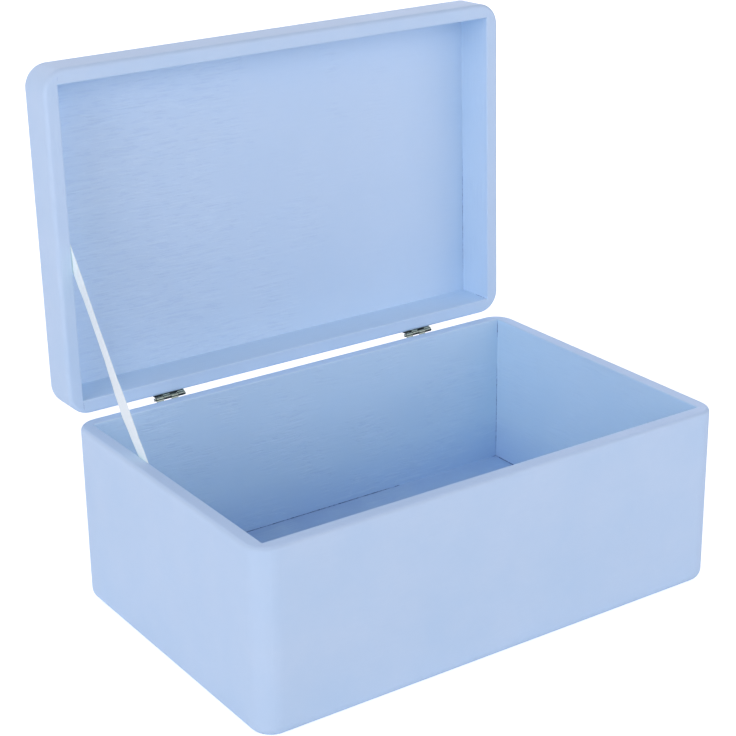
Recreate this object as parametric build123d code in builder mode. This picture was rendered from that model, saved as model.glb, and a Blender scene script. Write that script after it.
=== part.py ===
from build123d import *
import os

# A keepsake box of painted pine boards, with a hinged lid that stands open on a ribbon stay.
# X runs along the width, Y from front to back and Z up. The origin is on the table, under the
# middle of the base. The lid is modelled in its open position. Lengths are in millimetres.

# Base and lid
WIDTH = 300.0
DEPTH = 194.0
BASE_HEIGHT = 105.0
LID_FRAME_HEIGHT = 25.0  # the lid's boards, without the panel that lies on them
BOARD = 8.5  # thickness of every pine board
PLYWOOD = 4.0  # thickness of the base's bottom panel and the lid's top panel
CORNER_RADIUS = 13.0  # upright corners, seen from above
RIM_RADIUS = 2.5  # outer edge of both rims, where lid and base meet
INNER_RIM_RADIUS = 0.8  # the rims' inner edge, broken with sandpaper
FOOT_RADIUS = 6.0  # outer edge under the base
CROWN_RADIUS = 8.0  # outer edge on top of the lid
PANEL_LIFT = 7.0  # the bottom panel's underside, above the table
GROOVE_DEPTH = 4.0
PANEL_PLAY = 0.5  # room left at the panel's edges, inside its groove
GROOVE_SLACK = 0.3  # the open slit that is left over the panel, since it lies in the groove loosely
RIM_GAP = 0.3  # between the two rims when the lid is shut
LID_ANGLE = 91.2  # how far the lid opens before the ribbon is taut, in degrees

# Hinges
HINGE_CENTRE = 87.3  # from the middle of the box to the middle of each hinge
HINGE_LENGTH = 18.8
KNUCKLES = 4  # counted on both leaves together
KNUCKLE_GAP = 0.3
LEAF = 0.8  # thickness of the sheet metal
LEAF_HEIGHT = 12.0  # from the pin's axis to the leaf's far edge
LEAF_CORNER = 1.5
LEAF_START = {"base": 1.6, "lid": 0.95}  # from the pin's axis to each plate's near edge
BARREL_RADIUS = 1.1
PIN_RADIUS = 0.5
PIN_STANDOFF = 1.6  # from the wood's back face to the pin's axis
PIN_CLEARANCE = 0.05  # between the pin and the lid's knuckles
PIN_OVERHANG = 0.4  # how far each end of the pin stands out of the barrel
PIN_END_RADIUS = 0.3

# Hinge screws
SCREW_SPACING = 12.0
SCREW_DROP = 7.6  # from the pin's axis to the line of screws
SCREW_HEAD_RADIUS = 1.9
SCREW_HEAD_HEIGHT = 1.1
SCREW_DOME = 0.8
SHANK_RADIUS = 0.9
SHANK_LENGTH = 7.0
SHANK_TIP = 0.6
SLOT_LENGTH = 2.4
SLOT_WIDTH = 0.45
SLOT_DEPTH = 0.5
TIP_ROOM = 0.3  # the pilot hole goes this much deeper than the screw

# Ribbon stay and its staples, on the inner face of the left boards
RIBBON_WIDTH = 10.0
RIBBON_THICKNESS = 0.35
RIBBON_TAIL = 6.0  # how far the ribbon runs on past each staple
BASE_STAPLE = (18.5, 87.0)  # Y and Z of the staple in the base
LID_STAPLE = (111.2, 210.5)  # Y and Z of the staple in the open lid
STAPLE_WIDTH = 8.0
STAPLE_LEG = 5.0  # how deep the legs stand in the board
WIRE_THICKNESS = 0.6
WIRE_WIDTH = 0.9
STAPLE_BEND = 0.5

INNER_WIDTH = WIDTH - 2 * BOARD
INNER_DEPTH = DEPTH - 2 * BOARD
LID_HEIGHT = LID_FRAME_HEIGHT + PLYWOOD
PIN_Y = DEPTH / 2 + PIN_STANDOFF  # the leaves lie on the back faces
PIN_Z = BASE_HEIGHT + RIM_GAP / 2
KNUCKLE_PITCH = HINGE_LENGTH / KNUCKLES
PILOT_DEPTH = SHANK_LENGTH - LEAF + TIP_ROOM

os.makedirs("parts", exist_ok=True)

# The shut lid's axes turn about the pin to the open position.
turn = Rotation(-LID_ANGLE, 0, 0)
lid_up = (turn * Pos(0, 0, 1)).position
lid_back = (turn * Pos(0, 1, 0)).position
pin_point = Vector(0, PIN_Y, PIN_Z)
rim_centre = pin_point - lid_back * PIN_Y + lid_up * (RIM_GAP / 2)
base_plane = Plane.XY
lid_plane = Plane(origin=rim_centre, x_dir=(1, 0, 0), z_dir=lid_up)


def leaf_plane(body, middle):
    """Seen from behind the box: X along the pin, Y from the pin over the leaf, Z off the wood."""
    along, off = ((1, 0, 0), (0, 1, 0)) if body == "base" else ((-1, 0, 0), lid_back)
    return Plane(origin=pin_point + Vector(middle, 0, 0), x_dir=along, z_dir=off)


def staple_plane(body):
    """On the left boards' inner face: X along the ribbon, from base to lid, Z into the box."""
    (base_y, base_z), (lid_y, lid_z) = BASE_STAPLE, LID_STAPLE
    along = Vector(0, lid_y - base_y, lid_z - base_z)
    y, z = BASE_STAPLE if body == "base" else LID_STAPLE
    return Plane(origin=(-INNER_WIDTH / 2, y, z), x_dir=along, z_dir=(1, 0, 0))


HINGES = {"left": -HINGE_CENTRE, "right": HINGE_CENTRE}
SCREW_PLACES = [(-SCREW_SPACING / 2, SCREW_DROP), (SCREW_SPACING / 2, SCREW_DROP)]
LEG_PLACES = [(0, side * (STAPLE_WIDTH - WIRE_THICKNESS) / 2) for side in (-1, 1)]
RIBBON_SPAN = (staple_plane("lid").origin - staple_plane("base").origin).length


def save(piece, name):
    piece.part.label = name
    export_step(piece.part, f"parts/{name}.step")


def rounded_form(plane, height, lower_radius, upper_radius, hollow, rim_end):
    """The base or the lid in one, before it is divided into boards and a panel.

    The hollow runs up from the plane for this height, and rim_end is 0 where the rim lies in the
    plane and -1 where it is at the top.
    """
    up = Axis(plane.origin, plane.z_dir)
    with BuildPart() as form:
        with BuildSketch(plane):
            RectangleRounded(WIDTH, DEPTH, CORNER_RADIUS)
        extrude(amount=height)
        fillet(form.faces().sort_by(up)[0].edges(), lower_radius)
        fillet(form.faces().sort_by(up)[-1].edges(), upper_radius)
        with BuildSketch(plane):
            Rectangle(INNER_WIDTH, INNER_DEPTH)
        extrude(amount=hollow, mode=Mode.SUBTRACT)
        rim = form.faces().sort_by(up)[rim_end]
        fillet(rim.inner_wires()[0].edges(), INNER_RIM_RADIUS)
    return form.part


# The side boards run the full depth, and the front and back boards stand between them.
BOARD_PLANS = {
    "left": ((-(WIDTH - BOARD) / 2, 0), (BOARD, DEPTH)),
    "right": (((WIDTH - BOARD) / 2, 0), (BOARD, DEPTH)),
    "front": ((0, -(DEPTH - BOARD) / 2), (INNER_WIDTH, BOARD)),
    "back": ((0, (DEPTH - BOARD) / 2), (INNER_WIDTH, BOARD)),
}


def make_boards(body, plane, form, height):
    """Four boards: the back one drilled for the hinge screws, the left one for the staple."""
    for side, (centre, size) in BOARD_PLANS.items():
        with BuildPart() as board:
            add(form)
            with BuildSketch(plane):
                with Locations(centre):
                    Rectangle(*size)
            extrude(amount=height, mode=Mode.INTERSECT)
            if body == "base":
                with BuildSketch(plane.offset(PANEL_LIFT)):
                    Rectangle(INNER_WIDTH + 2 * GROOVE_DEPTH, INNER_DEPTH + 2 * GROOVE_DEPTH)
                extrude(amount=PLYWOOD + GROOVE_SLACK, mode=Mode.SUBTRACT)
            if side == "back":
                for middle in HINGES.values():
                    with BuildSketch(leaf_plane(body, middle).offset(-PIN_STANDOFF)):
                        with Locations(*SCREW_PLACES):
                            Circle(SHANK_RADIUS)
                    extrude(amount=-PILOT_DEPTH, mode=Mode.SUBTRACT)
            if side == "left":
                with BuildSketch(staple_plane(body)):
                    with Locations(*LEG_PLACES):
                        Rectangle(WIRE_WIDTH, WIRE_THICKNESS)
                extrude(amount=-STAPLE_LEG, mode=Mode.SUBTRACT)
        save(board, f"{body}_{side}_board")


# Base: four boards with a groove near their lower edges, and the panel that sits in it
base_form = rounded_form(base_plane, BASE_HEIGHT, FOOT_RADIUS, RIM_RADIUS, BASE_HEIGHT, -1)
make_boards("base", base_plane, base_form, BASE_HEIGHT)

with BuildPart() as base_bottom_panel:
    reach = 2 * (GROOVE_DEPTH - PANEL_PLAY)
    with BuildSketch(base_plane.offset(PANEL_LIFT)):
        Rectangle(INNER_WIDTH + reach, INNER_DEPTH + reach)
    extrude(amount=PLYWOOD)
save(base_bottom_panel, "base_bottom_panel")

# Lid: four boards with the top panel glued on them, all rounded over together
lid_form = rounded_form(lid_plane, LID_HEIGHT, RIM_RADIUS, CROWN_RADIUS, LID_FRAME_HEIGHT, 0)
make_boards("lid", lid_plane, lid_form, LID_FRAME_HEIGHT)

with BuildPart() as lid_top_panel:
    add(lid_form)
    with BuildSketch(lid_plane.offset(LID_FRAME_HEIGHT)):
        Rectangle(WIDTH, DEPTH)
    extrude(amount=PLYWOOD, mode=Mode.INTERSECT)
save(lid_top_panel, "lid_top_panel")


def make_leaf(hinge, body, middle):
    """A pressed leaf: a plate with two screw holes, and every other knuckle, on a sloping neck."""
    flat = leaf_plane(body, middle)
    profile = Plane(origin=flat.origin, x_dir=flat.y_dir, z_dir=flat.x_dir)
    start = -HINGE_LENGTH / 2
    bore = PIN_RADIUS if body == "base" else PIN_RADIUS + PIN_CLEARANCE
    near = LEAF_START[body]
    mid_sheet = (BARREL_RADIUS + bore) / 2
    neck = [(near, -PIN_STANDOFF), (near, LEAF - PIN_STANDOFF),
            (mid_sheet / 2, -mid_sheet), (0, -mid_sheet)]
    with BuildPart() as leaf:
        with BuildSketch(flat.offset(-PIN_STANDOFF)):
            with Locations((0, (near + LEAF_HEIGHT) / 2)):
                Rectangle(HINGE_LENGTH, LEAF_HEIGHT - near)
        extrude(amount=LEAF)
        far_edge = leaf.faces().sort_by(Axis(flat.origin, flat.y_dir))[-1]
        fillet(far_edge.edges().filter_by(Axis(flat.origin, flat.z_dir)), LEAF_CORNER)
        for knuckle in range(0, KNUCKLES, 2):
            left_end = start + knuckle * KNUCKLE_PITCH + (KNUCKLE_GAP / 2 if knuckle else 0)
            with BuildSketch(profile.offset(left_end)):
                Circle(BARREL_RADIUS)
                with BuildLine():
                    Polyline(*neck, close=True)
                make_face()
            extrude(amount=start + (knuckle + 1) * KNUCKLE_PITCH - KNUCKLE_GAP / 2 - left_end)
        with BuildSketch(profile.offset(start)):
            Circle(bore)
        extrude(amount=HINGE_LENGTH, mode=Mode.SUBTRACT)
        with BuildSketch(flat.offset(-PIN_STANDOFF)):
            with Locations(*SCREW_PLACES):
                Circle(SHANK_RADIUS)
        extrude(amount=LEAF, mode=Mode.SUBTRACT)
    save(leaf, f"{hinge}_hinge_{body}_leaf")


def make_screws(hinge, body, middle):
    """Two domed wood screws with a cross slot, through the leaf into the back board."""
    flat = leaf_plane(body, middle)
    leaf_face = LEAF - PIN_STANDOFF
    with BuildPart() as screws:
        with BuildSketch(flat.offset(leaf_face)):
            with Locations(*SCREW_PLACES):
                Circle(SCREW_HEAD_RADIUS)
        extrude(amount=SCREW_HEAD_HEIGHT)
        off_the_wood = Axis(flat.origin, flat.z_dir)
        fillet(screws.edges().group_by(off_the_wood)[-1], SCREW_DOME)
        with BuildSketch(flat.offset(leaf_face)):
            with Locations(*SCREW_PLACES):
                Circle(SHANK_RADIUS)
        extrude(amount=-SHANK_LENGTH)
        chamfer(screws.edges().group_by(off_the_wood)[0], SHANK_TIP)
        with BuildSketch(flat.offset(leaf_face + SCREW_HEAD_HEIGHT)):
            with Locations(*SCREW_PLACES):
                Rectangle(SLOT_LENGTH, SLOT_WIDTH)
                Rectangle(SLOT_WIDTH, SLOT_LENGTH)
        extrude(amount=-SLOT_DEPTH, mode=Mode.SUBTRACT)
    save(screws, f"{hinge}_hinge_{body}_screws")


# Hinges: two leaves on the back faces, one pin held in the base leaf, and four screws each
for hinge, middle in HINGES.items():
    for body in ("base", "lid"):
        make_leaf(hinge, body, middle)
        make_screws(hinge, body, middle)
    pin_length = HINGE_LENGTH + 2 * PIN_OVERHANG
    pin_plane = Plane(origin=(middle - pin_length / 2, PIN_Y, PIN_Z), z_dir=(1, 0, 0))
    with BuildPart() as pin:
        with BuildSketch(pin_plane):
            Circle(PIN_RADIUS)
        extrude(amount=pin_length)
        fillet(pin.edges().filter_by(GeomType.CIRCLE), PIN_END_RADIUS)
    save(pin, f"{hinge}_hinge_pin")

# Ribbon stay: flat against the left boards' inner face, pulled straight by the open lid
with BuildPart() as ribbon_stay:
    with BuildSketch(staple_plane("base")):
        with Locations((RIBBON_SPAN / 2, 0)):
            Rectangle(RIBBON_SPAN + 2 * RIBBON_TAIL, RIBBON_WIDTH)
        for along in (0, RIBBON_SPAN):
            with Locations(*[(along, side) for _, side in LEG_PLACES]):
                Rectangle(WIRE_WIDTH, WIRE_THICKNESS, mode=Mode.SUBTRACT)
    extrude(amount=RIBBON_THICKNESS)
save(ribbon_stay, "ribbon_stay")

# Staples: one across each end of the ribbon
for body in ("base", "lid"):
    flat = staple_plane(body)
    section = Plane(origin=flat.origin, x_dir=flat.y_dir, z_dir=flat.x_dir)
    crown_top = RIBBON_THICKNESS + WIRE_THICKNESS
    with BuildPart() as staple:
        with BuildSketch(section) as outline:
            with Locations((0, (crown_top - STAPLE_LEG) / 2)):
                Rectangle(STAPLE_WIDTH, STAPLE_LEG + crown_top)
            fillet(outline.vertices().group_by(Axis.Y)[-1], STAPLE_BEND)
            with Locations((0, (RIBBON_THICKNESS - STAPLE_LEG) / 2)):
                inner_width = STAPLE_WIDTH - 2 * WIRE_THICKNESS
                Rectangle(inner_width, STAPLE_LEG + RIBBON_THICKNESS, mode=Mode.SUBTRACT)
        extrude(amount=WIRE_WIDTH / 2, both=True)
    save(staple, f"ribbon_{body}_staple")
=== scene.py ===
import bmesh
import bpy
import math
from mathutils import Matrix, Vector, noise


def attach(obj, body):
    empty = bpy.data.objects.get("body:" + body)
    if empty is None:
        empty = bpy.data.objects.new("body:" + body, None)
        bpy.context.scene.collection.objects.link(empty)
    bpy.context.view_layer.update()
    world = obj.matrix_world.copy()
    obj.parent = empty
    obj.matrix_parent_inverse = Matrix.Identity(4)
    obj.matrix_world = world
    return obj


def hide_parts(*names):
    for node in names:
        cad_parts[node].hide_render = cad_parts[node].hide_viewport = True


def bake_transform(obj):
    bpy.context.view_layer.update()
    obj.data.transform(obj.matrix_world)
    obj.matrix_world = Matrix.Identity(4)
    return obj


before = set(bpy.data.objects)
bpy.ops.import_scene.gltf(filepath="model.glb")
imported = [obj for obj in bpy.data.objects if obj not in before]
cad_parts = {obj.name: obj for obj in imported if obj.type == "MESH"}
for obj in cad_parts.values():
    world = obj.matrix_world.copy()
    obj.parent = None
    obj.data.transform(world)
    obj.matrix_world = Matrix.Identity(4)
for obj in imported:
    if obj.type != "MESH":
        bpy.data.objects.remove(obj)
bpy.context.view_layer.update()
scene = bpy.context.scene
MM = 0.001

# The box: the same sizes as its solids, in metres
INNER_X = 141.5 * MM  # half the width inside
INNER_Y = 88.5 * MM  # half the depth inside
FLOOR_TOP = 11.0 * MM
LID_RIM = 105.3 * MM  # the height of the lid's rim when it is shut
LID_CEILING = 130.3 * MM  # the height of the panel's inner face when the lid is shut
LID_MIDDLE = 201 * MM  # the height of the lid's middle when it is open
PIN_Y = 98.6 * MM
PIN_Z = 105.15 * MM
HINGE_CENTRE = 87.3 * MM
HINGE_LENGTH = 18.8 * MM
LID_TURN = math.radians(91.2)
BASE_STAPLE = Vector((-INNER_X, 18.5 * MM, 87.0 * MM))
LID_STAPLE = Vector((-INNER_X, 111.2 * MM, 210.5 * MM))
RIBBON_WIDTH = 10.0 * MM
RIBBON_TAIL = 6.0 * MM

# A Separate XYZ node's outputs, and directions
X, Y, Z = 0, 1, 2
UP = (0, 0, 1)
LEFT = (-1, 0, 0)
RIGHT = (1, 0, 0)
FRONT = (0, -1, 0)

# Colours, as sRGB hex
PAINT_PALE = "#D3EAFA"
PAINT_DEEP = "#CDE7F9"
PAINT_GROOVE = "#AFCCEC"
# rubbed paint on the grain's ridges, and a painted highlight on the rim's inner edge
PAINT_RUBBED_AND_HIGHLIT = "#DCF2FF"
PAINT_INSIDE = "#D0EDF7"
# a bluer tint for the rim's top faces: painted light
PAINT_RIM_LIGHT_TINT = "#D2EBFF"
# the floor's coats, deeper than the walls' as painted shade
FLOOR_PALE = "#C6E3FA"
FLOOR_MIDDLE = "#B8D6F2"
FLOOR_DEEP = "#A9C8ED"
# the dark in cracks and slits, with painted shadow in it
CRACK_SHADE_BLUE = "#34558C"
RIBBON_WHITE = "#F5FEF9"
# the ribbon's faint glow: painted light
RIBBON_GLOW = "#F2FFEA"
BRASS_DULL = "#3B4647"
# pale brass: rubbed specks, die marks, and the knuckles' painted highlight
BRASS_PALE = "#DCE8CE"
STEEL_BRIGHT = "#EDEBE2"
STEEL_ZINC = "#B4B7BB"
SCREW_BRASS = "#8E8262"
STUDIO_WHITE = "#F7F8FA"


def linear(code):
    """An sRGB hex colour as the linear red, green, blue and alpha that a shader takes."""
    shares = [int(code[place:place + 2], 16) / 255 for place in (1, 3, 5)]
    return tuple(c / 12.92 if c <= 0.04045 else ((c + 0.055) / 1.055) ** 2.4 for c in shares) + (1.0,)


def add_node(tree, kind, inputs=None, **settings):
    """Adds a node with its settings. An input that is given a socket is linked to it, and any other
    input is set.
    """
    made = tree.nodes.new("ShaderNode" + kind)
    for name, value in settings.items():
        setattr(made, name, value)
    for name, value in (inputs or {}).items():
        if isinstance(value, bpy.types.NodeSocket):
            tree.links.new(value, made.inputs[name])
        else:
            made.inputs[name].default_value = value
    return made


def new_material(name):
    """An empty material, with its node tree and its Principled shader joined to the output."""
    material = bpy.data.materials.new(name)
    material.use_nodes = True
    tree = material.node_tree
    tree.nodes.clear()
    shader = add_node(tree, "BsdfPrincipled")
    add_node(tree, "OutputMaterial", {"Surface": shader.outputs[0]})
    return material, tree, shader


def new_piece(name, vertices, faces, finish):
    """A closed piece from its corners and faces, with every face turned outwards."""
    mesh = bpy.data.meshes.new(name)
    mesh.from_pydata(vertices, [], faces)
    mesh.validate()
    shaped = bmesh.new()
    shaped.from_mesh(mesh)
    bmesh.ops.recalc_face_normals(shaped, faces=shaped.faces)
    shaped.to_mesh(mesh)
    shaped.free()
    mesh.materials.append(finish)
    piece = bpy.data.objects.new(name, mesh)
    scene.collection.objects.link(piece)
    return piece


NOISE_MIDDLE = (0.5, 0.5, 0.5)

# Emulsion on sawn and sanded wood: the sizes of its patterns
GRAIN_BEND = 34 * MM  # from one bend of the grain to the next
PINE_SWAY = 5 * MM
PLYWOOD_SWAY = 2.5 * MM
STROKE_WIDTH = 1.25 * MM
STROKE_STRETCH = 1 / 9  # a stroke is nine times as long as it is wide
LINE_WIDTH = 1.8 * MM
LINE_STRETCH = 1 / 40  # and a line forty times
GRAIN_PATCH = 28 * MM
COAT_CLOUD = 30 * MM
ROLLER_STIPPLE = 0.9 * MM
STIPPLE_DEPTH = 0.006 * MM
GRAIN_DEPTH = 0.12 * MM

# How much of the surface's colour each of these takes over, at the most
INNER_COAT_SHARE = 0.5
LOW_SHADE_SHARE = 0.72
POOLED_SHARE = 0.3
EDGE_WEAR_AND_HIGHLIGHT_SHARE = 0.26
RUBBED_AND_HIGHLIT_SHARE = 0.62


def sawn_grain(tree, place, turn, sway):
    """The pattern of sawn grain: its strokes as plain noise, and the furrows and ridges in them.

    turn brings the grain's direction to X, and sway is how far its lines wander to each side.
    """
    along = add_node(tree, "Mapping", {"Vector": place, "Rotation": turn}).outputs[0]
    bends = add_node(tree, "TexNoise", {
        "Vector": along, "Scale": 1 / GRAIN_BEND, "Detail": 2.0, "Roughness": 0.5,
    }).outputs["Color"]
    centred = add_node(tree, "VectorMath", {
        0: bends, 1: NOISE_MIDDLE,
    }, operation="SUBTRACT").outputs[0]
    shift = add_node(tree, "VectorMath", {0: centred, 1: (sway,) * 3}, operation="MULTIPLY").outputs[0]
    wavy = add_node(tree, "VectorMath", {0: along, 1: shift}, operation="ADD").outputs[0]

    # short furrows and ridges 1 to 2 mm apart
    short = add_node(tree, "Mapping", {"Vector": wavy, "Scale": (STROKE_STRETCH, 1.0, 1.0)}).outputs[0]
    strokes = add_node(tree, "TexNoise", {
        "Vector": short, "Scale": 1 / STROKE_WIDTH, "Detail": 2.0, "Roughness": 0.55,
    }).outputs["Fac"]
    furrow = add_node(tree, "MapRange", {
        "Value": strokes, "From Min": 0.45, "From Max": 0.36,
    }, interpolation_type="SMOOTHSTEP").outputs[0]
    short_ridge = add_node(tree, "MapRange", {
        "Value": strokes, "From Min": 0.56, "From Max": 0.65,
    }, interpolation_type="SMOOTHSTEP").outputs[0]

    # and a few long ridges
    long = add_node(tree, "Mapping", {"Vector": wavy, "Scale": (LINE_STRETCH, 1.0, 1.0)}).outputs[0]
    lines = add_node(tree, "TexNoise", {
        "Vector": long, "Scale": 1 / LINE_WIDTH, "Detail": 1.0, "Roughness": 0.5,
    }).outputs["Fac"]
    long_ridge = add_node(tree, "MapRange", {
        "Value": lines, "From Min": 0.6, "From Max": 0.68,
    }, interpolation_type="SMOOTHSTEP").outputs[0]
    ridge = add_node(tree, "Math", {0: short_ridge, 1: long_ridge}, operation="MAXIMUM").outputs[0]
    return strokes, furrow, ridge


def painted_wood(name, turn, inward_axis, middle, rim_axis, inner_grain, outer_grain, sway=PINE_SWAY,
                 grain_lean=0.0, shade_lean=0.0, pale=PAINT_PALE, deep=PAINT_DEEP, inner_coat=PAINT_PALE,
                 rim_light_tint=None, shaded_below=None):
    """Sanded wood under two thin coats of satin emulsion, put on with a foam roller.

    The eye sees an even pale blue with a very fine stipple. Where the wood was left as it was sawn,
    inside the box, its grain shows through the film: fine wavy furrows along the boards in which the
    paint is deeper, and ridges that sandpaper has rubbed paler. The rim's inner edge is paler too,
    partly rubbed and partly a painted highlight. The inside is what faces the middle along the inward
    axis, the rim faces along the rim axis, and the two grain values are the share of the grain on the
    inside and on the outside. The leans say how much more grain there is, and how much paler the
    coats are, per metre to the right; the coats' lean is painted shade, deeper towards the left. Half
    of the inside's colour is that of the inner coat. Where a tint for the rim is given, the rim's top
    faces take it, a painted tint of the light that falls on them. Inside and below a given height the
    coats get deeper towards the floor, as painted shade.
    """
    material, tree, shader = new_material(name)
    coordinates = add_node(tree, "TexCoord")
    place = coordinates.outputs["Object"]
    parts = add_node(tree, "SeparateXYZ", {0: place})
    facing = add_node(tree, "SeparateXYZ", {0: coordinates.outputs["Normal"]})
    strokes, furrow, ridge = sawn_grain(tree, place, turn, sway)

    # how far the surface faces the box's middle, and how far it faces along the rim's axis
    to_middle = add_node(tree, "Math", {
        0: middle, 1: parts.outputs[inward_axis],
    }, operation="SUBTRACT").outputs[0]
    way = add_node(tree, "Math", {0: to_middle}, operation="SIGN").outputs[0]
    inward = add_node(tree, "Math", {
        0: way, 1: facing.outputs[inward_axis],
    }, operation="MULTIPLY").outputs[0]
    inside = add_node(tree, "MapRange", {"Value": inward, "From Min": 0.4, "From Max": 0.8}).outputs[0]
    rimward = add_node(tree, "Math", {0: facing.outputs[rim_axis]}, operation="ABSOLUTE").outputs[0]

    # the grain comes and goes in patches, and is mostly sanded away outside
    patches = add_node(tree, "TexNoise", {
        "Vector": place, "Scale": 1 / GRAIN_PATCH, "Detail": 2.0, "Roughness": 0.5,
    }).outputs["Fac"]
    leaning = add_node(tree, "Math", {
        0: parts.outputs[X], 1: grain_lean, 2: patches,
    }, operation="MULTIPLY_ADD").outputs[0]
    patch = add_node(tree, "MapRange", {
        "Value": leaning, "From Min": 0.43, "From Max": 0.62, "To Min": 0.12, "To Max": 1.0,
    }).outputs[0]
    left_over = add_node(tree, "MapRange", {
        "Value": inside, "To Min": outer_grain, "To Max": inner_grain,
    }).outputs[0]
    share = add_node(tree, "Math", {0: patch, 1: left_over}, operation="MULTIPLY").outputs[0]
    furrows = add_node(tree, "Math", {0: furrow, 1: share}, operation="MULTIPLY").outputs[0]
    ridges = add_node(tree, "Math", {0: ridge, 1: share}, operation="MULTIPLY").outputs[0]

    # the coats are cloudy, have another colour inside, and pool in the furrows
    clouds = add_node(tree, "TexNoise", {
        "Vector": place, "Scale": 1 / COAT_CLOUD, "Detail": 3.0, "Roughness": 0.6,
    }).outputs["Fac"]
    # a lean makes the coats paler to the right and deeper to the left: painted shade
    coat_and_shade = add_node(tree, "Math", {
        0: parts.outputs[X], 1: shade_lean, 2: clouds,
    }, operation="MULTIPLY_ADD").outputs[0]
    cloud = add_node(tree, "MapRange", {
        "Value": coat_and_shade, "From Min": 0.3, "From Max": 0.7,
    }).outputs[0]
    coats = add_node(tree, "Mix", {
        "Factor": cloud, "A": linear(deep), "B": linear(pale),
    }, data_type="RGBA").outputs["Result"]
    inner_share = add_node(tree, "Math", {
        0: inside, 1: INNER_COAT_SHARE,
    }, operation="MULTIPLY").outputs[0]
    covered = add_node(tree, "Mix", {
        "Factor": inner_share, "A": coats, "B": linear(inner_coat),
    }, data_type="RGBA").outputs["Result"]
    # painted shade: inside, the walls get deeper towards the floor below the given height
    if shaded_below:
        lowness = add_node(tree, "MapRange", {
            "Value": parts.outputs[Z], "From Min": shaded_below, "From Max": FLOOR_TOP,
            "To Max": LOW_SHADE_SHARE,
        }).outputs[0]
        low_shade = add_node(tree, "Math", {0: lowness, 1: inside}, operation="MULTIPLY").outputs[0]
        covered = add_node(tree, "Mix", {
            "Factor": low_shade, "A": covered, "B": linear(FLOOR_MIDDLE),
        }, data_type="RGBA").outputs["Result"]
    pooled = add_node(tree, "Math", {0: furrows, 1: POOLED_SHARE}, operation="MULTIPLY").outputs[0]
    filled = add_node(tree, "Mix", {
        "Factor": pooled, "A": covered, "B": linear(PAINT_GROOVE),
    }, data_type="RGBA").outputs["Result"]
    # painted light: the rim's top faces take a bluer tint of the light that falls on them
    if rim_light_tint:
        rim_top = add_node(tree, "MapRange", {
            "Value": rimward, "From Min": 0.7, "From Max": 0.95,
        }).outputs[0]
        filled = add_node(tree, "Mix", {
            "Factor": rim_top, "A": filled, "B": linear(rim_light_tint),
        }, data_type="RGBA").outputs["Result"]

    # the inner edge of the rim, the only surface that faces both inwards and along the rim's axis, is
    # paler: partly rubbed paint and partly a painted highlight
    both = add_node(tree, "Math", {0: inward, 1: rimward}, operation="MULTIPLY").outputs[0]
    edge = add_node(tree, "MapRange", {
        "Value": both, "From Min": 0.1, "From Max": 0.35, "To Max": EDGE_WEAR_AND_HIGHLIGHT_SHARE,
    }).outputs[0]
    ragged = add_node(tree, "MapRange", {
        "Value": strokes, "From Min": 0.35, "From Max": 0.6, "To Min": 0.3, "To Max": 1.0,
    }).outputs[0]
    worn_edge_and_highlight = add_node(tree, "Math", {0: edge, 1: ragged}, operation="MULTIPLY").outputs[0]
    rubbed_and_highlit = add_node(tree, "Math", {0: ridges, 1: worn_edge_and_highlight}, operation="MAXIMUM").outputs[0]
    # how much paler: rubbed paint, and on the rim's inner edge partly a painted highlight
    thin = add_node(tree, "Math", {0: rubbed_and_highlit, 1: RUBBED_AND_HIGHLIT_SHARE}, operation="MULTIPLY").outputs[0]
    coloured = add_node(tree, "Mix", {
        "Factor": thin, "A": filled, "B": linear(PAINT_RUBBED_AND_HIGHLIT),
    }, data_type="RGBA").outputs["Result"]
    tree.links.new(coloured, shader.inputs["Base Color"])

    # a satin gloss over the roller's stipple and the grain's relief
    gloss = add_node(tree, "MapRange", {
        "Value": clouds, "From Min": 0.3, "From Max": 0.7, "To Min": 0.5, "To Max": 0.62,
    }).outputs[0]
    tree.links.new(gloss, shader.inputs["Roughness"])
    shader.inputs["IOR"].default_value = 1.46
    stipple = add_node(tree, "TexNoise", {
        "Vector": place, "Scale": 1 / ROLLER_STIPPLE, "Detail": 2.0, "Roughness": 0.55,
    }).outputs["Fac"]
    film = add_node(tree, "Bump", {
        "Height": stipple, "Strength": 1.0, "Distance": STIPPLE_DEPTH,
    }).outputs[0]
    height = add_node(tree, "Math", {0: ridges, 1: furrows}, operation="SUBTRACT").outputs[0]
    relief = add_node(tree, "Bump", {
        "Height": height, "Strength": 1.0, "Distance": GRAIN_DEPTH, "Normal": film,
    }).outputs[0]
    tree.links.new(relief, shader.inputs["Normal"])
    return material


# Antique brass
KNUCKLE_HIGHLIGHT_SIDE = (0.0, -0.64, 0.77)  # the side painted paler as a highlight, and that hands and cloths reach while the lid stands open
BRASS_SPECK = 2.4 * MM
SPECK_SHARE = 0.22
DENT_DEPTH = 0.06 * MM
BLACKENED_ROUGHNESS = 0.55


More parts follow.
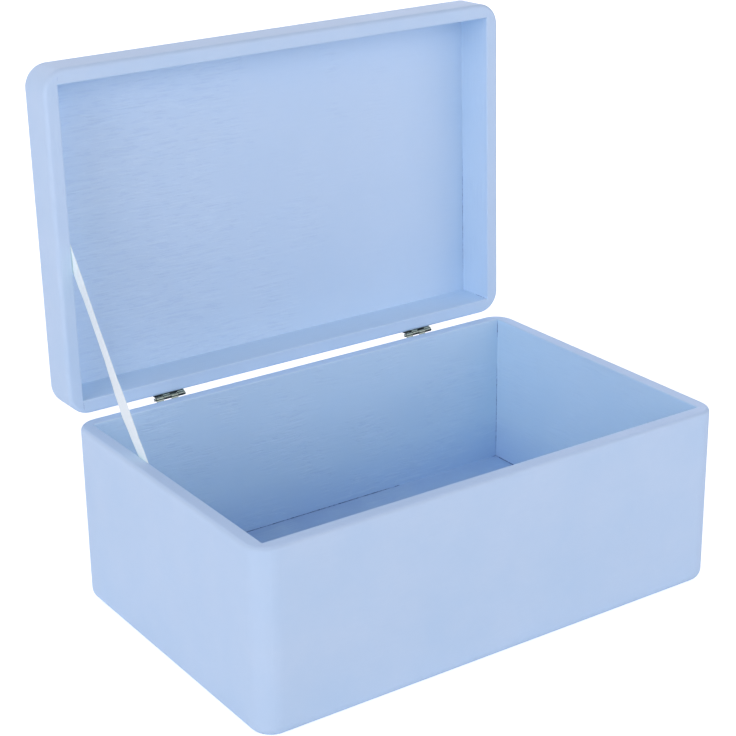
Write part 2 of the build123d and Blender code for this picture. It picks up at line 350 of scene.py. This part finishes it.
def antique_brass(name, polish, start, roughness):
    """Pressed brass sheet, blackened and tumbled: nearly black, and rubbed a little paler in specks.

    The knuckles are paler and smoother on the side that faces up and forwards: partly polish from
    handling, partly a painted highlight, which gives bright lines along the barrel. polish is how far,
    start is the cosine off the crest where it begins, and roughness is what it leaves.
    """
    material, tree, shader = new_material(name)
    coordinates = add_node(tree, "TexCoord")
    place = coordinates.outputs["Object"]
    specks = add_node(tree, "TexNoise", {
        "Vector": place, "Scale": 1 / BRASS_SPECK, "Detail": 4.0, "Roughness": 0.6,
    }).outputs["Fac"]
    speck = add_node(tree, "MapRange", {
        "Value": specks, "From Min": 0.45, "From Max": 0.8, "To Max": SPECK_SHARE,
    }).outputs[0]
    closeness = add_node(tree, "VectorMath", {
        0: coordinates.outputs["Normal"], 1: KNUCKLE_HIGHLIGHT_SIDE,
    }, operation="DOT_PRODUCT").outputs["Value"]
    # painted highlight along the crest, where polish also lowers the roughness
    crest = add_node(tree, "MapRange", {
        "Value": closeness, "From Min": start, "From Max": 1.0, "To Max": polish,
    }, interpolation_type="SMOOTHSTEP").outputs[0]
    worn_and_highlit = add_node(tree, "Math", {0: speck, 1: crest}, operation="MAXIMUM").outputs[0]
    colour = add_node(tree, "Mix", {
        "Factor": worn_and_highlit, "A": linear(BRASS_DULL), "B": linear(BRASS_PALE),
    }, data_type="RGBA").outputs["Result"]
    tree.links.new(colour, shader.inputs["Base Color"])
    shader.inputs["Metallic"].default_value = 1.0
    rough = add_node(tree, "MapRange", {
        "Value": worn_and_highlit, "To Min": BLACKENED_ROUGHNESS, "To Max": roughness,
    }).outputs[0]
    tree.links.new(rough, shader.inputs["Roughness"])
    dents = add_node(tree, "Bump", {
        "Height": specks, "Strength": 0.4, "Distance": DENT_DEPTH,
    }).outputs[0]
    tree.links.new(dents, shader.inputs["Normal"])
    return material


DRAW_MARK = 0.5 * MM  # real marks are finer than a pixel, so these are as coarse as they need to be


def drawn_metal(name, colour, roughness):
    """Plated or drawn metal in small pieces: marks of the die spread its shine a little."""
    material, tree, shader = new_material(name)
    place = add_node(tree, "TexCoord").outputs["Object"]
    marks = add_node(tree, "TexNoise", {
        "Vector": place, "Scale": 1 / DRAW_MARK, "Detail": 3.0, "Roughness": 0.6,
    }).outputs["Fac"]
    shade = add_node(tree, "Mix", {
        "Factor": marks, "A": linear(colour), "B": linear(BRASS_PALE),
    }, data_type="RGBA").outputs["Result"]
    tree.links.new(shade, shader.inputs["Base Color"])
    shader.inputs["Metallic"].default_value = 1.0
    rough = add_node(tree, "MapRange", {
        "Value": marks, "To Min": roughness - 0.08, "To Max": roughness + 0.12,
    }).outputs[0]
    tree.links.new(rough, shader.inputs["Roughness"])
    return material


CRACK_DUST = 2.5 * MM


def painted_crack_shade(name):
    """Painted shadow in the cracks and slits of the paint's joints: deep blue flecked paler, with no
    shine.
    """
    material, tree, shader = new_material(name)
    place = add_node(tree, "TexCoord").outputs["Object"]
    dust = add_node(tree, "TexNoise", {
        "Vector": place, "Scale": 1 / CRACK_DUST, "Detail": 2.0, "Roughness": 0.6,
    }).outputs["Fac"]
    mask = add_node(tree, "MapRange", {"Value": dust, "From Min": 0.35, "From Max": 0.7}).outputs[0]
    colour = add_node(tree, "Mix", {
        "Factor": mask, "A": linear(CRACK_SHADE_BLUE), "B": linear(PAINT_GROOVE),
    }, data_type="RGBA").outputs["Result"]
    tree.links.new(colour, shader.inputs["Base Color"])
    shader.inputs["Roughness"].default_value = 0.9
    return material


SATIN_THREAD = 0.25 * MM  # real threads are 0.1 mm apart, which is too fine to show
FLOAT_STRETCH = 0.08
WEAVE_DEPTH = 0.04 * MM


def woven_satin(name):
    """Polyester satin ribbon: long floats along its length give a soft white gloss.

    It also glows a little, a painted light that lifts it above what its white colour can give back.
    """
    material, tree, shader = new_material(name)
    place = add_node(tree, "UVMap").outputs["UV"]
    threads = add_node(tree, "Mapping", {"Vector": place, "Scale": (1.0, FLOAT_STRETCH, 1.0)}).outputs[0]
    floats = add_node(tree, "TexNoise", {
        "Vector": threads, "Scale": 1 / SATIN_THREAD, "Detail": 2.0, "Roughness": 0.5,
    }).outputs["Fac"]
    shade = add_node(tree, "MapRange", {
        "Value": floats, "From Min": 0.3, "From Max": 0.7, "To Min": 0.94, "To Max": 1.0,
    }).outputs[0]
    colour = add_node(tree, "Mix", {
        "Factor": 1.0, "A": linear(RIBBON_WHITE), "B": shade,
    }, data_type="RGBA", blend_type="MULTIPLY").outputs["Result"]
    tree.links.new(colour, shader.inputs["Base Color"])
    shader.inputs["Roughness"].default_value = 0.42
    shader.inputs["Specular IOR Level"].default_value = 0.9
    shader.inputs["Sheen Weight"].default_value = 0.4
    shader.inputs["Sheen Roughness"].default_value = 0.4
    # painted light: the ribbon glows a little, though it is no lamp
    shader.inputs["Emission Color"].default_value = linear(RIBBON_GLOW)
    shader.inputs["Emission Strength"].default_value = 0.1
    weave = add_node(tree, "Bump", {
        "Height": floats, "Strength": 0.25, "Distance": WEAVE_DEPTH,
    }).outputs[0]
    tree.links.new(weave, shader.inputs["Normal"])
    return material


# Finishes on the solids. The base's boards face across the box, and their rims face up. The open lid's
# long boards face its middle height, its side boards face across it, and their rims face forwards.
ALONG_WIDTH = (0, 0, 0)
ALONG_DEPTH = (0.0, 0.0, math.radians(90))
UP_THE_LID = (0.0, math.radians(90), 0.0)
BOX_MIDDLE = 0.0
ABOVE_THE_BOX = 1.0  # the floor's inside is its upper face
PAINTED_SHADE_HEIGHT = 42 * MM  # below this, inside, the walls are painted deeper towards the floor as painted shade
pine_long = painted_wood(
    "painted_pine_along_width", turn=ALONG_WIDTH, inward_axis=Y, middle=BOX_MIDDLE, rim_axis=Z,
    inner_grain=0.5, outer_grain=0.08, inner_coat=PAINT_INSIDE, rim_light_tint=PAINT_RIM_LIGHT_TINT,
    shaded_below=PAINTED_SHADE_HEIGHT)
pine_side = painted_wood(
    "painted_pine_along_depth", turn=ALONG_DEPTH, inward_axis=X, middle=BOX_MIDDLE, rim_axis=Z,
    inner_grain=0.25, outer_grain=0.08, inner_coat=PAINT_INSIDE, rim_light_tint=PAINT_RIM_LIGHT_TINT,
    shaded_below=PAINTED_SHADE_HEIGHT)
pine_lid_long = painted_wood(
    "painted_pine_across_lid", turn=ALONG_WIDTH, inward_axis=Z, middle=LID_MIDDLE, rim_axis=Y,
    inner_grain=0.3, outer_grain=0.15)
pine_lid_side = painted_wood(
    "painted_pine_up_lid", turn=UP_THE_LID, inward_axis=X, middle=BOX_MIDDLE, rim_axis=Y,
    inner_grain=0.3, outer_grain=0.2)
plywood = painted_wood(
    "painted_plywood", turn=ALONG_WIDTH, inward_axis=Y, middle=BOX_MIDDLE, rim_axis=Z,
    inner_grain=0.5, outer_grain=0.15, sway=PLYWOOD_SWAY, grain_lean=-2.6)
# the floor is painted deeper than the walls, and deeper to the left, as painted shade
floor_plywood = painted_wood(
    "plywood_with_painted_shade", turn=ALONG_WIDTH, inward_axis=Z, middle=ABOVE_THE_BOX, rim_axis=X,
    inner_grain=0.35, outer_grain=0.2, sway=PLYWOOD_SWAY, shade_lean=2.0,
    pale=FLOOR_PALE, deep=FLOOR_DEEP, inner_coat=FLOOR_MIDDLE)
# both are paler on the knuckles' crest: partly polish, partly a painted highlight
fixed_brass = antique_brass("antique_brass", polish=0.7, start=0.6, roughness=0.36)
lid_brass = antique_brass("polished_antique_brass", polish=1.0, start=0.9, roughness=0.22)
pin_steel = drawn_metal("drawn_steel_pin", STEEL_BRIGHT, roughness=0.4)
screw_metal = drawn_metal("plated_screw", SCREW_BRASS, roughness=0.38)
staple_metal = drawn_metal("galvanised_wire", STEEL_ZINC, roughness=0.35)
satin = woven_satin("satin_ribbon")
crack_shadow = painted_crack_shade("painted_crack_shade")


def finish_for(name):
    """The finish of each solid, by the piece it is."""
    if name.endswith("_panel"):
        return plywood if name.startswith("lid") else floor_plywood
    if name.endswith("_board"):
        if "front" in name or "back" in name:
            return pine_long if name.startswith("base") else pine_lid_long
        return pine_side if name.startswith("base") else pine_lid_side
    if name.endswith("_leaf"):
        return lid_brass if "lid" in name else fixed_brass
    if name.endswith("_pin"):
        return pin_steel
    if name.endswith("_screws"):
        return screw_metal
    return staple_metal


for name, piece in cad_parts.items():
    piece.data.materials.clear()
    piece.data.materials.append(finish_for(name))

# Ribbon stay: a flat woven strip, pulled straight, with a slight twist between its two staples
RIBBON_STEPS = 150
RIBBON_RIBS = 14
SATIN_HALF_THICKNESS = 0.11 * MM
SELVEDGE_HALF_THICKNESS = 0.12 * MM
along_ribbon = (LID_STAPLE - BASE_STAPLE).normalized()
across_ribbon = Vector((0, along_ribbon.z, -along_ribbon.y))
off_wall = Vector(RIGHT)
ribbon_start = BASE_STAPLE - along_ribbon * RIBBON_TAIL
ribbon_length = (LID_STAPLE - BASE_STAPLE).length + 2 * RIBBON_TAIL
# Along the ribbon, as shares of its length: its twist in degrees, its distance off the wall and its
# bow towards the hinges, both in mm
TWIST = [(0.0, 0.0), (0.06, 0.5), (0.10, 6.0), (0.155, 6.1), (0.215, 3.4), (0.27, 1.0), (0.33, -2.9),
         (0.395, 0.6), (0.45, 4.6), (0.53, 7.2), (0.62, 8.4), (0.72, 7.8), (0.79, 4.4), (0.86, 3.0),
         (0.94, 0.0), (1.0, 0.0)]
LIFT = [(0.0, 0.18), (0.06, 0.18), (0.12, 0.4), (0.5, 0.4), (0.85, 0.35), (0.93, 0.18), (1.0, 0.18)]
BOW = [(0.0, 0.0), (0.06, 0.0), (0.155, -0.69), (0.25, 0.63), (0.33, 1.33), (0.42, 1.22), (0.55, 0.38),
       (0.75, 0.02), (0.9, 0.5), (1.0, 0.3)]


def eased(table, share):
    """The value at this share of the length, eased between the listed ones."""
    for (a, low), (b, high) in zip(table, table[1:]):
        if share <= b:
            t = (share - a) / (b - a)
            return low + (high - low) * t * t * (3 - 2 * t)
    return table[-1][1]


def ribbon_outline():
    """The ribbon's cross section, as places across it and off its middle. Its woven edges, the
    selvedges, are a little thicker than the satin between them.
    """
    face = []
    for rib in range(RIBBON_RIBS + 1):
        across = (rib / RIBBON_RIBS - 0.5) * RIBBON_WIDTH
        at_selvedge = rib in (0, RIBBON_RIBS)
        face.append((across, SELVEDGE_HALF_THICKNESS if at_selvedge else SATIN_HALF_THICKNESS))
    return face + [(across, -off_middle) for across, off_middle in reversed(face)]


def make_ribbon():
    """The closed ribbon. Its UV map holds its real widths and lengths in metres."""
    outline = ribbon_outline()
    around = len(outline)
    vertices, faces, uvs = [], [], []
    for step in range(RIBBON_STEPS + 1):
        share = step / RIBBON_STEPS
        twist = math.radians(eased(TWIST, share))
        width_way = across_ribbon * math.cos(twist) + off_wall * math.sin(twist)
        face_way = width_way.cross(along_ribbon)
        middle = ribbon_start + along_ribbon * (share * ribbon_length)
        middle += off_wall * (eased(LIFT, share) * MM)
        middle += across_ribbon * (eased(BOW, share) * MM)
        for across, off_middle in outline:
            vertices.append(middle + width_way * across + face_way * off_middle)
            uvs.append((across, share * ribbon_length))
    for step in range(RIBBON_STEPS):
        for corner in range(around):
            here = step * around + corner
            following = step * around + (corner + 1) % around
            faces.append((here, following, following + around, here + around))
    faces.append(tuple(reversed(range(around))))
    faces.append(tuple(range(RIBBON_STEPS * around, (RIBBON_STEPS + 1) * around)))
    made = new_piece("satin_ribbon_stay", vertices, faces, satin)
    layer = made.data.uv_layers.new(name="UVMap")
    for corner in made.data.loops:
        layer.data[corner.index].uv = uvs[corner.vertex_index]
    for face in made.data.polygons:
        face.use_smooth = len(face.vertices) == 4
    return made


ribbon = make_ribbon()
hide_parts("ribbon_stay")
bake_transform(ribbon)

# Pin heads: the left end of each hinge pin has a collar against the barrel, blackened with the hinge,
# and a bright dome in its middle
HEAD_SIDES = 20
HEAD_PROFILE = [  # from the barrel's end outwards: the distance off it and the radius, both in mm
    (0.05, 0.0), (0.05, 0.8), (0.2, 0.93), (0.95, 0.93), (1.12, 0.85), (1.16, 0.58), (1.24, 0.5),
    (1.32, 0.3), (1.35, 0.0),
]
DOME_START = 1.16 * MM  # the head is brass up to here and steel beyond
BRASS_SLOT, STEEL_SLOT = 0, 1


def make_pin_head(name, barrel_end):
    """A closed head on the pin's axis, turned from the profile and pointing left."""
    rings = HEAD_PROFILE[1:-1]
    axis = Vector((barrel_end, PIN_Y, PIN_Z))
    vertices = [axis - Vector((HEAD_PROFILE[0][0] * MM, 0, 0))]
    for out, radius in rings:
        for side in range(HEAD_SIDES):
            angle = math.tau * side / HEAD_SIDES
            spoke = Vector((-out, radius * math.cos(angle), radius * math.sin(angle)))
            vertices.append(axis + spoke * MM)
    vertices.append(axis - Vector((HEAD_PROFILE[-1][0] * MM, 0, 0)))
    tip = len(vertices) - 1
    faces = []
    for side in range(HEAD_SIDES):
        following = (side + 1) % HEAD_SIDES
        faces.append((0, 1 + side, 1 + following))
        for ring in range(len(rings) - 1):
            inner = 1 + ring * HEAD_SIDES
            outer = inner + HEAD_SIDES
            faces.append((inner + side, outer + side, outer + following, inner + following))
        last_ring = 1 + (len(rings) - 1) * HEAD_SIDES
        faces.append((last_ring + following, last_ring + side, tip))
    head = new_piece(name, vertices, faces, fixed_brass)
    head.data.materials.append(pin_steel)
    for face in head.data.polygons:
        face.use_smooth = True
        face.material_index = STEEL_SLOT if barrel_end - face.center.x > DOME_START else BRASS_SLOT
    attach(head, "base")


for hinge, middle in (("left", -HINGE_CENTRE), ("right", HINGE_CENTRE)):
    make_pin_head(f"{hinge}_hinge_pin_head", middle - HINGE_LENGTH / 2)

# Seams: dark strips along joints, partly cracks where the paint has parted and partly painted shadow
# in the slits, and beads where paint has filled a joint
STRIP_STEP = 1.5 * MM
FEWEST_STEPS = 6
RAGGED_LENGTH = 5.0 * MM
RAGGEDNESS = 0.5  # how much the width changes along a strip, as a share of it
NOISE_LEVEL = 0.5  # between the noise's lattice points, where it is always zero
BLUNT_END = 0.02  # how wide a strip's end stays, as a share of its width
KEEL = 0.1 * MM  # how far a strip goes into the joint
STRIP_CORNERS = 4


def open_place(x, y, z):
    """A place on the shut lid, brought to where it is on the open one."""
    behind, above = y - PIN_Y, z - PIN_Z
    return Vector((x, PIN_Y + behind * math.cos(LID_TURN) + above * math.sin(LID_TURN),
                   PIN_Z - behind * math.sin(LID_TURN) + above * math.cos(LID_TURN)))


def open_direction(x, y, z):
    """A direction on the shut lid, brought to the open one."""
    return open_place(x, y, z) - open_place(0, 0, 0)


LID_FRONT = open_direction(0, -1, 0)
LID_DOWN = open_direction(0, 0, -1)  # out of the lid's rim, and off its panel


def make_strip(name, start, end, one_way, other_way, half_width, crest, taper, body, finish, seed):
    """A closed strip along a joint, with a ragged width and pointed ends.

    Its edges lie half the width away in the two directions in which the joint's faces go off. Its
    crest is given as how far it lies in each of them, in mm, and its keel is sunk into the joint. A
    crest that lies along one of the faces is raised off it by a thousandth, so that it isn't lost
    in that face.
    """
    start, end = Vector(start), Vector(end)
    one_way, other_way = Vector(one_way), Vector(other_way)
    in_one_face = one_way == -other_way
    out_of_joint = LID_DOWN if in_one_face else (one_way + other_way).normalized()
    lift = (one_way * crest[0] + other_way * crest[1]) * MM
    length = (end - start).length
    steps = max(FEWEST_STEPS, round(length / STRIP_STEP))
    taper_steps = max(1.0, taper * MM / STRIP_STEP)
    vertices = []
    for step in range(steps + 1):
        share = step / steps
        spread = noise.noise(Vector((share * length / RAGGED_LENGTH, seed, NOISE_LEVEL)))
        narrowing = min(1.0, min(share, 1 - share) * steps / taper_steps)
        size = (1 + RAGGEDNESS * spread) * narrowing + BLUNT_END
        centre = start.lerp(end, share)
        reach = half_width * MM * size
        vertices.append(centre + one_way * reach)
        vertices.append(centre + lift * size)
        vertices.append(centre + other_way * reach)
        vertices.append(centre - out_of_joint * KEEL)
    last = steps * STRIP_CORNERS
    faces = [tuple(reversed(range(STRIP_CORNERS))), tuple(range(last, last + STRIP_CORNERS))]
    for step in range(steps):
        for corner in range(STRIP_CORNERS):
            here = step * STRIP_CORNERS + corner
            following = step * STRIP_CORNERS + (corner + 1) % STRIP_CORNERS
            faces.append((here, following, following + STRIP_CORNERS, here + STRIP_CORNERS))
    strip = new_piece(name, vertices, faces, finish)
    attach(strip, body)


SLIT_Z = FLOOR_TOP + 0.15 * MM  # the slits' middle, just above the floor
SEAMS = [  # name, start, end, its two directions; half width, crest and taper in mm; body, finish
    ("floor_slit_back", (-INNER_X, INNER_Y, SLIT_Z), (57.8 * MM, INNER_Y, SLIT_Z),
     FRONT, UP, 0.28, (0.17, 0.17), 6, "base", crack_shadow),
    ("floor_slit_dash", (60 * MM, INNER_Y, SLIT_Z), (65.8 * MM, INNER_Y, SLIT_Z),
     FRONT, UP, 0.22, (0.15, 0.15), 2, "base", crack_shadow),
    ("floor_slit_corner", (137.5 * MM, INNER_Y, SLIT_Z), (INNER_X, INNER_Y, SLIT_Z),
     FRONT, UP, 0.25, (0.17, 0.17), 2, "base", crack_shadow),
    ("floor_bead_back", (58 * MM, INNER_Y, FLOOR_TOP), (INNER_X, INNER_Y, FLOOR_TOP),
     FRONT, UP, 0.5, (0.1, 0.1), 8, "base", floor_plywood),
    ("floor_slit_right", (INNER_X, INNER_Y, SLIT_Z), (INNER_X, -INNER_Y, SLIT_Z),
     LEFT, UP, 0.36, (0.17, 0.17), 3, "base", crack_shadow),
    ("corner_crack_top", (INNER_X, INNER_Y, 104 * MM), (INNER_X, INNER_Y, 92 * MM),
     LEFT, FRONT, 0.2, (0.15, 0.15), 4, "base", crack_shadow),
    ("corner_crack_bottom", (INNER_X, INNER_Y, 76 * MM), (INNER_X, INNER_Y, FLOOR_TOP),
     LEFT, FRONT, 0.18, (0.13, 0.13), 12, "base", crack_shadow),
    ("lid_crack_corner", open_place(INNER_X, INNER_Y, 118 * MM),
     open_place(INNER_X, INNER_Y, 107 * MM),
     LEFT, LID_FRONT, 0.16, (0.12, 0.00012), 3, "lid", crack_shadow),
    ("lid_crack_right", open_place(INNER_X, -8 * MM, LID_CEILING),
     open_place(INNER_X, INNER_Y, LID_CEILING),
     LEFT, LID_DOWN, 0.14, (0.1, 0.0001), 30, "lid", crack_shadow),
    ("lid_bead_right", open_place(INNER_X, -INNER_Y, LID_CEILING),
     open_place(INNER_X, -10 * MM, LID_CEILING),
     LEFT, LID_DOWN, 0.8, (0.3, 0.0003), 20, "lid", pine_lid_side),
    ("rim_joint_back", open_place(-INNER_X, INNER_Y + 0.6 * MM, LID_RIM),
     open_place(-INNER_X, INNER_Y + 5.4 * MM, LID_RIM),
     LEFT, RIGHT, 0.12, (0, 0), 1.5, "lid", crack_shadow),
    ("rim_joint_front", open_place(-INNER_X, -INNER_Y - 2.2 * MM, LID_RIM),
     open_place(-INNER_X, -INNER_Y - 4.6 * MM, LID_RIM),
     LEFT, RIGHT, 0.12, (0, 0), 1, "lid", crack_shadow),
]
for seed, seam in enumerate(SEAMS):
    make_strip(*seam, seed)

# Floor, light and camera
FLOOR_SIZE = 14.0
FLOOR_DROP = 0.1 * MM  # keeps the floor clear of the box's foot
FLOOR_GLOW = 0.62
SKY_COLOUR = (0.795, 0.807, 1.0, 1.0)
SKY_STRENGTH = 0.222
floor_mesh = bpy.data.meshes.new("studio_floor")
half = FLOOR_SIZE / 2
floor_mesh.from_pydata(
    [(-half, -half, 0), (half, -half, 0), (half, half, 0), (-half, half, 0)], [], [(0, 1, 2, 3)])
studio_floor = bpy.data.objects.new("studio_floor", floor_mesh)
studio_floor.location.z = -FLOOR_DROP
scene.collection.objects.link(studio_floor)
floor_material, floor_tree, floor_shader = new_material("studio_floor_white")
floor_shader.inputs["Base Color"].default_value = linear(STUDIO_WHITE)
floor_shader.inputs["Roughness"].default_value = 0.9
floor_shader.inputs["Emission Color"].default_value = (1, 1, 1, 1)
seen = add_node(floor_tree, "LightPath").outputs["Is Camera Ray"]
glow = add_node(floor_tree, "Math", {0: seen, 1: FLOOR_GLOW}, operation="MULTIPLY").outputs[0]
floor_tree.links.new(glow, floor_shader.inputs["Emission Strength"])
floor_mesh.materials.append(floor_material)

world = bpy.data.worlds.new("studio_air")
scene.world = world
world.use_nodes = True
world.node_tree.nodes.clear()
sky = add_node(world.node_tree, "Background", {"Color": SKY_COLOUR, "Strength": SKY_STRENGTH})
add_node(world.node_tree, "OutputWorld", {"Surface": sky.outputs[0]})

LIGHTS_AIM = Vector((0, 0.02, 0.12))  # a little above and behind the middle of the base
SOFTBOX_TINT = (0.892, 0.872, 1.0)  # a cool daylight tube
LIGHTS = [  # name, place, width and height in metres, watts
    ("left_low_softbox", (-2.4, -0.6, 0.6), (1.8, 1.0), 10.1),
    ("left_softbox", (-2.2, -0.6, 1.1), (1.6, 1.6), 16.9),
    ("front_softbox", (0.2, -2.3, 1.2), (1.6, 1.6), 13.9),
    ("front_right_low_softbox", (1.8, -1.6, 0.6), (1.8, 1.0), 10.9),
    ("front_right_high_softbox", (1.3, -1.3, 1.8), (1.6, 1.6), 4.5),
    ("back_softbox", (0.0, 2.4, 0.9), (3.0, 1.6), 10.6),
    ("back_high_softbox", (0.0, 1.8, 2.0), (2.0, 1.6), 19.3),
    ("back_right_softbox", (2.0, 1.8, 1.0), (1.6, 1.6), 14.0),
]
for name, place, size, watts in LIGHTS:
    data = bpy.data.lights.new(name, "AREA")
    data.shape = "RECTANGLE"
    data.size, data.size_y = size
    data.energy = watts
    data.color = SOFTBOX_TINT
    lamp = bpy.data.objects.new(name, data)
    lamp.location = place
    lamp.rotation_mode = "QUATERNION"
    lamp.rotation_quaternion = (LIGHTS_AIM - Vector(place)).to_track_quat("-Z", "Y")
    scene.collection.objects.link(lamp)

camera_data = bpy.data.cameras.new("camera")
camera_data.lens = 91.72
camera_data.sensor_width = 36
camera_data.shift_x = 0.0717
camera_data.shift_y = -0.0272
camera_data.clip_start = 0.05
camera = bpy.data.objects.new("camera", camera_data)
camera.location = (-0.55234, -0.77837, 0.50993)
camera.rotation_euler = tuple(math.radians(a) for a in (69.1033, 1.2763, -33.2257))
scene.collection.objects.link(camera)
scene.camera = camera
scene.view_settings.view_transform = "Standard"
scene.cycles.diffuse_bounces = 8
